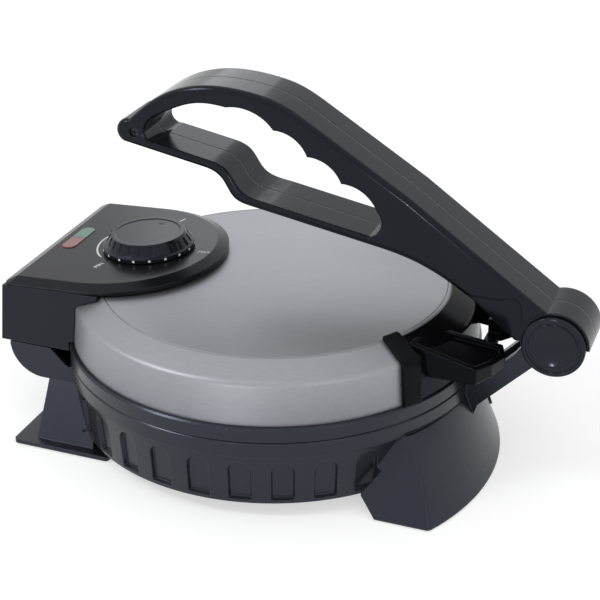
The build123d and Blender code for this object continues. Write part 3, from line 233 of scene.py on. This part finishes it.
# spun stainless sheet: rings round the middle, long streaks, and painted shade: the wall gets darker
# colours, darkest towards its foot
coverSizes = {
    "tint": (0.385, 0.385, 0.412),
    "shade": (0.265, 0.268, 0.292),
    "shadedWallTint": (0.330, 0.340, 0.370),
    "shadedWallShade": (0.170, 0.176, 0.196),
    "wallFoot": 54.0 * mm,
    "wallTop": 80.0 * mm,
    "domeStreaks": 0.5,
    "wallStreaks": 0.4,
    "rings": (900.0, 3.0, 0.7),
    "streakStretch": (60.0, 9.0, 60.0),
    "streaks": (12.0, 4.0, 0.6),
    "cloud": (14.0, 2.0),
    "roughness": 0.42,
    "ringRoughness": 0.05,
    "streakRoughness": 0.06,
    "ringHeight": 0.5,
    "streakHeight": 0.3,
    "bumpStrength": 0.05,
    "bumpDepth": 0.05 * mm,
    "edgeRadius": 1.2 * mm,
}


def spunSteel(sizes):
    finish = Finish("spunSteel", Metallic=1.0)
    spot = finish.place()
    fromCentre = finish.vectorMaths("SUBTRACT", spot, (0.0, plateCentreY, 0.0))
    flat = finish.vectorMaths("MULTIPLY", fromCentre, (1.0, 1.0, 0.0))
    radius = finish.vectorMaths("LENGTH", flat, output="Value")
    rings = finish.noise(finish.add("ShaderNodeCombineXYZ", {}, {"X": radius}), *sizes["rings"])
    streaks = finish.noise(finish.vectorMaths("MULTIPLY", spot, sizes["streakStretch"]), *sizes["streaks"])
    cloud = finish.noise(spot, *sizes["cloud"])

    def uneven(streakShare, shade, tint):
        return finish.blend(streaks * streakShare + cloud * (1 - streakShare), shade, tint)

    dome = uneven(sizes["domeStreaks"], sizes["shade"], sizes["tint"])
    shadedWall = uneven(sizes["wallStreaks"], sizes["shadedWallShade"], sizes["shadedWallTint"])
    # painted shade: going down the wall towards its foot, the wall's darker colours replace the dome's
    raised = finish.ramp(finish.axis(spot, 2), sizes["wallFoot"], sizes["wallTop"], 0.0, 1.0, "SMOOTHSTEP")
    finish.drive("Base Color", finish.blend(raised, shadedWall, dome))
    roughness = sizes["roughness"] + rings * sizes["ringRoughness"] + streaks * sizes["streakRoughness"]
    finish.drive("Roughness", roughness)
    height = rings * sizes["ringHeight"] + streaks * sizes["streakHeight"]
    finish.bump(height, sizes["bumpStrength"], sizes["bumpDepth"], finish.softEdge(sizes["edgeRadius"]))
    return finish.material


# dark non-stick coating with fine fleck
coatSizes = {
    "dark": (0.018, 0.018, 0.019),
    "fleck": (0.05, 0.05, 0.052),
    "grain": (3200.0, 1.0),
    "cloud": (30.0, 2.0),
    "roughness": 0.38,
    "cloudRoughness": 0.14,
    "bumpStrength": 0.2,
    "bumpDepth": 0.05 * mm,
}


def nonstick(sizes):
    finish = Finish("nonstickCoat", IOR=1.45)
    spot = finish.place()
    grain = finish.noise(spot, *sizes["grain"])
    cloud = finish.noise(spot, *sizes["cloud"])
    finish.drive("Base Color", finish.blend(grain, sizes["dark"], sizes["fleck"]))
    finish.drive("Roughness", sizes["roughness"] + cloud * sizes["cloudRoughness"])
    finish.bump(grain, sizes["bumpStrength"], sizes["bumpDepth"])
    return finish.material


# bare or blackened metal of fasteners, tubes and sheets, lightly scuffed
metalSizes = {
    "shadeShare": 0.82,
    "scuff": (420.0, 3.0),
    "roughnessDip": 0.06,
    "scuffRoughness": 0.12,
    "bumpStrength": 0.1,
    "bumpDepth": 0.05 * mm,
}


def plainMetal(name, tint, roughness, sizes=metalSizes):
    finish = Finish(name, Metallic=1.0)
    scuff = finish.noise(finish.place(), *sizes["scuff"])
    shade = tuple(sizes["shadeShare"] * part for part in tint)
    finish.drive("Base Color", finish.blend(scuff, shade, tint))
    finish.drive("Roughness", roughness - sizes["roughnessDip"] + scuff * sizes["scuffRoughness"])
    finish.bump(scuff, sizes["bumpStrength"], sizes["bumpDepth"])
    return finish.material


# rubber, ceramic, paint, lamp glass and print: fine fleck between two close tones
solidSizes = {
    "fleck": (1400.0, 2.0),
    "roughnessDip": 0.05,
    "fleckRoughness": 0.1,
    "bumpStrength": 0.2,
    "bumpDepth": 0.08 * mm,
}


def softSolid(name, dark, light, roughness, sizes=solidSizes):
    finish = Finish(name, IOR=1.45)
    fleck = finish.noise(finish.place(), *sizes["fleck"])
    finish.drive("Base Color", finish.blend(fleck, dark, light))
    finish.drive("Roughness", roughness - sizes["roughnessDip"] + fleck * sizes["fleckRoughness"])
    finish.bump(fleck, sizes["bumpStrength"], sizes["bumpDepth"])
    return finish.material


# coloured lens with fine moulded ribs under a clear skin
lensSizes = {
    "ribScale": 190.0,
    "cloud": (160.0, 2.0),
    "ribShare": 0.6,
    "roughness": 0.22,
    "cloudRoughness": 0.1,
    "bumpStrength": 0.3,
    "bumpDepth": 0.1 * mm,
}


def lensPlastic(name, deep, bright, sizes=lensSizes):
    finish = Finish(name, IOR=1.5, Coat_Weight=0.6, Coat_Roughness=0.08)
    spot = finish.place()
    ribs = finish.add(
        "ShaderNodeTexWave",
        {"wave_type": "BANDS", "bands_direction": "DIAGONAL"},
        {"Vector": spot, "Scale": sizes["ribScale"]},
        1,
    )
    cloud = finish.noise(spot, *sizes["cloud"])
    mixture = ribs * sizes["ribShare"] + cloud * (1 - sizes["ribShare"])
    finish.drive("Base Color", finish.blend(mixture, deep, bright))
    finish.drive("Roughness", sizes["roughness"] + cloud * sizes["cloudRoughness"])
    finish.bump(ribs, sizes["bumpStrength"], sizes["bumpDepth"])
    return finish.material


# how the other mouldings differ from the housing's
handleSizes = dict(
    mouldingSizes,
    dark=(0.0040, 0.0042, 0.0056),
    light=(0.007, 0.0074, 0.0098),
    wearAndPaintedHighlight=(0.07, 0.075, 0.09),
    specular=0.22,
    roughness=0.13,
    edgeRadius=1.3 * mm,
)
bracketSizes = dict(
    mouldingSizes,
    dark=(0.0018, 0.0018, 0.0022),
    light=(0.0032, 0.0032, 0.0040),
    specular=0.08,
    roughness=0.20,
)
controlPanelSizes = dict(
    mouldingSizes,
    dark=(0.0045, 0.0045, 0.0054),
    light=(0.0075, 0.0075, 0.0090),
    sheen=(0.82, 0.86, 1.0),
    specular=0.22,
    roughness=0.24,
)
boxSizes = dict(mouldingSizes, specular=0.28, roughness=0.29)
capSizes = dict(mouldingSizes, dark=(0.0035, 0.0038, 0.0052), specular=0.32, roughness=0.09)
knobSizes = dict(mouldingSizes, specular=0.26, roughness=0.22)

finishes = {
    "moulding": moulding("blackMoulding", mouldingSizes),
    "handleMoulding": moulding("handleMoulding", handleSizes, seam=True),
    "bracketMoulding": moulding("bracketMoulding", dict(bracketSizes, paintedSheenPanel=paintedSheenPanelSizes)),
    "trayMoulding": moulding("trayMoulding", bracketSizes),
    "panel": moulding("panelMoulding", controlPanelSizes),
    "boxMoulding": moulding("boxMoulding", boxSizes),
    "capMoulding": moulding("capMoulding", capSizes),
    "knob": moulding("knobMoulding", knobSizes),
    "cover": spunSteel(coverSizes),
    "plate": nonstick(coatSizes),
    "tube": plainMetal("heaterTube", tint=(0.30, 0.30, 0.31), roughness=0.45),
    "shield": plainMetal("shieldSheet", tint=(0.72, 0.72, 0.73), roughness=0.35),
    "screw": plainMetal("screwSteel", tint=(0.50, 0.50, 0.52), roughness=0.35),
    "darkScrew": plainMetal("blackenedScrew", tint=(0.060, 0.062, 0.070), roughness=0.38),
    "pin": plainMetal("pinSteel", tint=(0.58, 0.58, 0.60), roughness=0.25),
    "pan": softSolid("panPaint", dark=(0.020, 0.020, 0.021), light=(0.034, 0.034, 0.035), roughness=0.5),
    "rubber": softSolid("footRubber", dark=(0.016,) * 3, light=(0.028,) * 3, roughness=0.75),
    "ceramic": softSolid("ceramicBody", dark=(0.62, 0.60, 0.55), light=(0.74, 0.72, 0.67), roughness=0.55),
    "lamp": softSolid("lampGlass", dark=(0.75, 0.52, 0.38), light=(0.85, 0.66, 0.50), roughness=0.2),
    "redLens": lensPlastic("redLensPlastic", deep=(0.12, 0.007, 0.009), bright=(0.26, 0.022, 0.026)),
    "greenLens": lensPlastic("greenLensPlastic", deep=(0.006, 0.070, 0.042), bright=(0.018, 0.16, 0.10)),
    "print": softSolid("whitePrint", dark=(0.70, 0.71, 0.73), light=(0.80, 0.81, 0.83), roughness=0.5),
    "darkPrint": softSolid(
        "darkPrint", dark=(0.008, 0.008, 0.009), light=(0.014, 0.014, 0.015), roughness=0.4
    ),
}

nodeFinish = {
    "base_housing": "moulding",
    "rubber_feet": "rubber",
    "bottom_cover": "pan",
    "bottom_cover_screws": "screw",
    "terminal_block": "ceramic",
    "cord_bush": "rubber",
    "lower_plate": "plate",
    "lower_element": "tube",
    "lower_shield": "shield",
    "hinge_pin": "pin",
    "pivot_caps": "capMoulding",
    "lid_ring": "moulding",
    "lid_cover": "cover",
    "lid_bracket": "bracketMoulding",
    "bracket_screws": "darkScrew",
    "upper_plate": "plate",
    "upper_element": "tube",
    "upper_shield": "shield",
    "thermostat_body": "ceramic",
    "control_box": "boxMoulding",
    "control_panel": "panel",
    "panel_screws": "screw",
    "red_lens": "redLens",
    "green_lens": "greenLens",
    "indicator_lamps": "lamp",
    "thermostat_knob": "knob",
    "thermostat_shaft": "pin",
    "handle_near_half": "handleMoulding",
    "handle_far_half": "handleMoulding",
    "handle_screws": "darkScrew",
}
for nodeName, finishName in nodeFinish.items():
    nodeMesh = nodes[nodeName].data
    nodeMesh.materials.clear()
    nodeMesh.materials.append(finishes[finishName])
print("roti maker: finishes on", len(nodeFinish), "solids")


def placePiece(name, data, finishName, body, place):
    piece = bpy.data.objects.new(name, data)
    bpy.context.scene.collection.objects.link(piece)
    piece.matrix_world = place
    data.materials.append(finishes[finishName])
    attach(piece, body)
    return piece


def meshOf(name, corners, faces):
    data = bpy.data.meshes.new(name)
    data.from_pydata(corners, [], faces)
    data.update()
    return data


# the sloping panel's own frame: x to the user's right, y up the slope, z out of it
panelSizes = {
    "slope": math.radians(3.0),
    "frontY": -159.0 * mm,
    "frontZ": 85.0 * mm,
    "thickness": 3.6 * mm,
    "knobY": -98.1 * mm,
}


def panelFrame(sizes):
    slope = sizes["slope"]
    alongAxis = Vector((0, math.cos(slope), math.sin(slope)))
    outAxis = Vector((0, -math.sin(slope), math.cos(slope)))
    top = Vector((0, sizes["frontY"], sizes["frontZ"])) + outAxis * sizes["thickness"]
    knobPlace = top + alongAxis * ((sizes["knobY"] - top.y) / math.cos(slope))
    matrix = Matrix.Identity(4)
    matrix.col[0] = (1, 0, 0, 0)
    matrix.col[1] = (*alongAxis, 0)
    matrix.col[2] = (*outAxis, 0)
    matrix.col[3] = (*knobPlace, 1)
    return matrix


dialFrame = panelFrame(panelSizes)

# printing on the panel round the dial, all of one thickness
printSizes = {
    "height": 0.12 * mm,
    "endShare": 0.35,  # of a line's width, at its very ends
    "endGrowth": 6.0,  # how fast a line widens from there
}


# a thin printed line along a row of places, narrowing at both ends
def printedLine(name, places, width, sizes):
    count = len(places)
    corners = []
    for index, place in enumerate(places):
        before = Vector(places[max(index - 1, 0)])
        after = Vector(places[min(index + 1, count - 1)])
        ahead = (after - before).normalized()
        fromEnd = min(index, count - 1 - index) / (count - 1)
        half = width / 2 * min(1.0, sizes["endShare"] + sizes["endGrowth"] * fromEnd)
        aside = Vector((-ahead.y, ahead.x)) * half
        for edge in (Vector(place) - aside, Vector(place) + aside):
            for height in (0.0, sizes["height"]):
                corners.append((edge.x, edge.y, height))
    faces = []
    last = 4 * (count - 1)
    for near in range(0, last, 4):
        far = near + 4
        faces += [
            (near, far, far + 1, near + 1),
            (near + 2, near + 3, far + 3, far + 2),
            (near + 1, far + 1, far + 3, near + 3),
            (near, near + 2, far + 2, far),
        ]
    faces += [(0, 1, 3, 2), (last, last + 2, last + 3, last + 1)]
    placePiece(name, meshOf(name, corners, faces), "print", "lid", dialFrame)


arcSizes = {
    "radii": (31.2 * mm, 29.3 * mm),
    "angles": (math.radians(-106.0), math.radians(-43.0)),
    "width": 1.0 * mm,
    "steps": 32,
}


def dialArc(sizes):
    places = []
    for step in range(sizes["steps"] + 1):
        share = step / sizes["steps"]
        angle, radius = (
            start * (1 - share) + end * share for start, end in (sizes["angles"], sizes["radii"])
        )
        places.append((radius * math.cos(angle), radius * math.sin(angle)))
    printedLine("dialArcPrint", places, sizes["width"], printSizes)


tickSizes = {
    "ends": ((-38.6 * mm, 1.2 * mm), (-44.0 * mm, 3.3 * mm)),
    "width": 0.9 * mm,
    "steps": 8,
}


def dialTick(sizes):
    start, end = (Vector(place) for place in sizes["ends"])
    places = [start.lerp(end, step / sizes["steps"]) for step in range(sizes["steps"] + 1)]
    printedLine("dialTickPrint", places, sizes["width"], printSizes)


wordSizes = {
    "minimumPrint": {
        "word": "MIN",
        "place": (32.2 * mm, -15.9 * mm),
        "turn": math.radians(169.0),
        "size": 3.9 * mm,
    },
    "maximumPrint": {
        "word": "MAX",
        "place": (0.0, 34.9 * mm),
        "turn": math.radians(97.0),
        "size": 3.4 * mm,
    },
}


def dialWord(name, sizes):
    middle = printSizes["height"] / 2
    curve = bpy.data.curves.new(name, "FONT")
    curve.body = sizes["word"]
    curve.size = sizes["size"]
    curve.extrude = middle
    curve.align_x = "CENTER"
    curve.align_y = "CENTER"
    spot = Matrix.Translation((*sizes["place"], middle)) @ Matrix.Rotation(sizes["turn"], 4, "Z")
    placePiece(name, curve, "print", "lid", dialFrame @ spot)


dialArc(arcSizes)
dialTick(tickSizes)
for wordName, oneWord in wordSizes.items():
    dialWord(wordName, oneWord)
print("roti maker: dial marks printed")

# one shallow tray on each wing of the lid bracket, in mm: across, along, and the height of its foot;
# the raised rim starts over the collar and falls away to the back
traySizes = {
    "outline": (
        (50.2, 74.5, 83.0),
        (50.2, 82.5, 67.4),
        (50.2, 110.7, 67.4),
        (38.8, 116.3, 67.4),
        (25.0, 120.3, 67.4),
        (14.7, 116.3, 70.0),
        (20.6, 92.0, 74.0),
        (24.6, 78.0, 83.0),
    ),
    "rimStartY": 74.5,
    "rimStartZ": 85.4,
    "fall": 0.252,
    "rimWidth": 3.3,
    "depth": 2.2,
    "leastSpread": 0.4,  # keeps the rim's inner corners from running far in
    "edgeRadius": 0.5 * mm,
    "edgeSegments": 2,
}


# the outline moved inwards by the rim's width
def trayFloor(sizes):
    places = sizes["outline"]
    inner = []
    for index in range(len(places)):
        here = Vector(places[index][:2])
        before = (here - Vector(places[index - 1][:2])).normalized()
        after = (Vector(places[(index + 1) % len(places)][:2]) - here).normalized()
        inward = Vector((-before.y - after.y, before.x + after.x)).normalized()
        spread = max(inward.dot(Vector((-before.y, before.x))), sizes["leastSpread"])
        inner.append(here + inward * (sizes["rimWidth"] / spread))
    return inner


def trayLoops(sizes):
    outline = sizes["outline"]
    inner = trayFloor(sizes)

    def rimHeight(y):
        return sizes["rimStartZ"] - sizes["fall"] * (y - sizes["rimStartY"])

    return [
        list(outline),
        [(x, y, rimHeight(y)) for x, y, foot in outline],
        [(place.x, place.y, rimHeight(place.y)) for place in inner],
        [(place.x, place.y, rimHeight(place.y) - sizes["depth"]) for place in inner],
    ]


def bracketTrays(sizes):
    loops = trayLoops(sizes)
    count = len(loops[0])
    corners = []
    faces = []
    for side in (1, -1):
        starts = [len(corners) + level * count for level in range(len(loops))]
        for loop in loops:
            corners += [(side * x * mm, y * mm, z * mm) for x, y, z in loop]
        sideFaces = []
        for low, high in zip(starts, starts[1:]):
            for index in range(count):
                after = (index + 1) % count
                sideFaces.append((low + index, low + after, high + after, high + index))
        sideFaces.append(tuple(range(starts[-1], starts[-1] + count)))
        sideFaces.append(tuple(reversed(range(starts[0], starts[0] + count))))
        faces += sideFaces if side > 0 else [tuple(reversed(face)) for face in sideFaces]
    data = meshOf("bracketTrays", corners, faces)
    piece = placePiece("bracketTrays", data, "trayMoulding", "lid", Matrix.Identity(4))
    soften = piece.modifiers.new("softRims", "BEVEL")
    soften.width = sizes["edgeRadius"]
    soften.segments = sizes["edgeSegments"]
    soften.limit_method = "ANGLE"


bracketTrays(traySizes)
print("roti maker: bracket trays laid on the wings")


# a ball flattened along its own z to a low crown
def crown(builder, sizes, place):
    around, upward = sizes["segments"]
    radius = sizes["radius"]
    matrix = place @ Matrix.Diagonal((1, 1, sizes["rise"] / radius, 1))
    bmesh.ops.create_uvsphere(builder, u_segments=around, v_segments=upward, radius=radius, matrix=matrix)


def builtMesh(name, builder):
    data = bpy.data.meshes.new(name)
    builder.to_mesh(data)
    builder.free()
    return data


# dots round the knob's skirt
dotSizes = {
    "count": 18,
    "firstAngle": math.radians(6.7),
    "radius": 0.8 * mm,
    "rise": 0.3 * mm,
    "ringRadius": 26.6 * mm,
    "sink": 0.05 * mm,
    "height": 1.7 * mm,
    "segments": (12, 8),
}


def skirtDots(sizes):
    builder = bmesh.new()
    for index in range(sizes["count"]):
        angle = sizes["firstAngle"] + 2 * math.pi * index / sizes["count"]
        outward = Vector((math.cos(angle), math.sin(angle), 0))
        foot = outward * (sizes["ringRadius"] - sizes["sink"]) + Vector((0, 0, sizes["height"]))
        turn = outward.to_track_quat("Z", "Y").to_matrix().to_4x4()
        crown(builder, sizes, Matrix.Translation(foot) @ turn)
    data = builtMesh("knobSkirtDots", builder)
    placePiece("knobSkirtDots", data, "print", "knob", dialFrame)


# small dark pointer spot on the top of the knob, a shallow crowned button
spotSizes = {
    "place": (-13.8 * mm, 2.4 * mm, 9.2 * mm),
    "radius": 1.7 * mm,
    "rise": 0.25 * mm,
    "segments": (24, 12),
}


def pointerSpot(sizes):
    builder = bmesh.new()
    crown(builder, sizes, Matrix.Translation(sizes["place"]))
    data = builtMesh("knobPointerSpot", builder)
    for face in data.polygons:
        face.use_smooth = True
    placePiece("knobPointerSpot", data, "darkPrint", "knob", dialFrame)


skirtDots(dotSizes)
pointerSpot(spotSizes)
print("roti maker: knob dots set")

# pale floor and sky
studioSizes = {
    "floorHalf": 3.0,
    "floorColour": (0.56, 0.56, 0.56),
    "floorRoughness": 0.9,
    "floorGlow": 0.56,
    "skyLevel": 0.72,
}


def studioFloor(sizes):
    half = sizes["floorHalf"]
    corners = [(-half, -half, 0), (half, -half, 0), (half, half, 0), (-half, half, 0)]
    data = meshOf("studioFloor", corners, [(0, 1, 2, 3)])
    floor = bpy.data.objects.new("studioFloor", data)
    bpy.context.scene.collection.objects.link(floor)
    finish = Finish(
        "studioFloor",
        Roughness=sizes["floorRoughness"],
        Base_Color=(*sizes["floorColour"], 1),
        Emission_Strength=1.0,
    )
    glow = (sizes["floorGlow"],) * 3
    finish.drive("Emission Color", finish.blend(finish.seenRays(), (0.0, 0.0, 0.0), glow))
    data.materials.append(finish.material)


def studioSky(sizes):
    world = bpy.data.worlds.new("studioSky")
    bpy.context.scene.world = world
    sky = NodeTree(world)
    strength = sizes["skyLevel"] + sky.seenRays() * (1.0 - sizes["skyLevel"])
    back = sky.tree.nodes["Background"]
    back.inputs["Color"].default_value = (1, 1, 1, 1)
    sky.tree.links.new(strength.socket, back.inputs["Strength"])


# soft rectangular lamps, in metres and watts
white = (1, 1, 1)
coolWhite = (0.93, 0.96, 1.0)
lamps = {
    "overheadLamp": {
        "place": (0.2, 0.1, 1.3),
        "aim": (0, 0, 0),
        "size": (1.0, 1.0),
        "power": 0.8,
        "colour": white,
    },
    "backLamp": {
        "place": (-1.0, -0.45, 0.66),
        "aim": (0, -0.02, 0.15),
        "size": (0.4, 0.5),
        "power": 0.6,
        "colour": coolWhite,
    },
    "leftLamp": {
        "place": (0.62, -0.72, 0.95),
        "aim": (0, 0, 0.05),
        "size": (0.25, 0.25),
        "power": 3.8,
        "colour": coolWhite,
    },
    "rightLamp": {
        "place": (0.85, 0.95, 0.55),
        "aim": (0, 0, 0.05),
        "size": (0.3, 0.5),
        "power": 1.1,
        "colour": white,
    },
    "lowLamp": {
        "place": (0.93, -0.01, 0.037),
        "aim": (0, 0.14, 0.08),
        "size": (0.05, 0.05),
        "power": 0.6,
        "colour": white,
    },
}


def softLamp(name, sizes):
    lamp = bpy.data.lights.new(name, "AREA")
    lamp.shape = "RECTANGLE"
    lamp.size, lamp.size_y = sizes["size"]
    lamp.energy = sizes["power"]
    lamp.color = sizes["colour"]
    holder = bpy.data.objects.new(name, lamp)
    bpy.context.scene.collection.objects.link(holder)
    holder.location = sizes["place"]
    ahead = Vector(sizes["aim"]) - Vector(sizes["place"])
    holder.rotation_euler = ahead.to_track_quat("-Z", "Y").to_euler()


cameraSizes = {
    "target": Vector((0.0, -4.6, 73.4)) * mm,
    "distance": 848.0 * mm,
    "azimuth": math.radians(20.7),
    "elevation": math.radians(26.2),
    "lens": 90.0,
    "sensor": 36.0,
    "nearest": 10.0 * mm,
}


def studioCamera(sizes):
    camera = bpy.data.cameras.new("studioCamera")
    camera.lens = sizes["lens"]
    camera.sensor_width = sizes["sensor"]
    camera.clip_start = sizes["nearest"]
    holder = bpy.data.objects.new("studioCamera", camera)
    bpy.context.scene.collection.objects.link(holder)
    azimuth, elevation = sizes["azimuth"], sizes["elevation"]
    level = math.cos(elevation)
    back = Vector((math.cos(azimuth) * level, math.sin(azimuth) * level, math.sin(elevation)))
    holder.location = sizes["target"] + back * sizes["distance"]
    holder.rotation_euler = (-back).to_track_quat("-Z", "Y").to_euler()
    bpy.context.scene.camera = holder


studioFloor(studioSizes)
studioSky(studioSizes)
for lampName, lampSizes in lamps.items():
    softLamp(lampName, lampSizes)
studioCamera(cameraSizes)
bpy.context.scene.view_settings.view_transform = "Standard"
print("roti maker: studio ready")
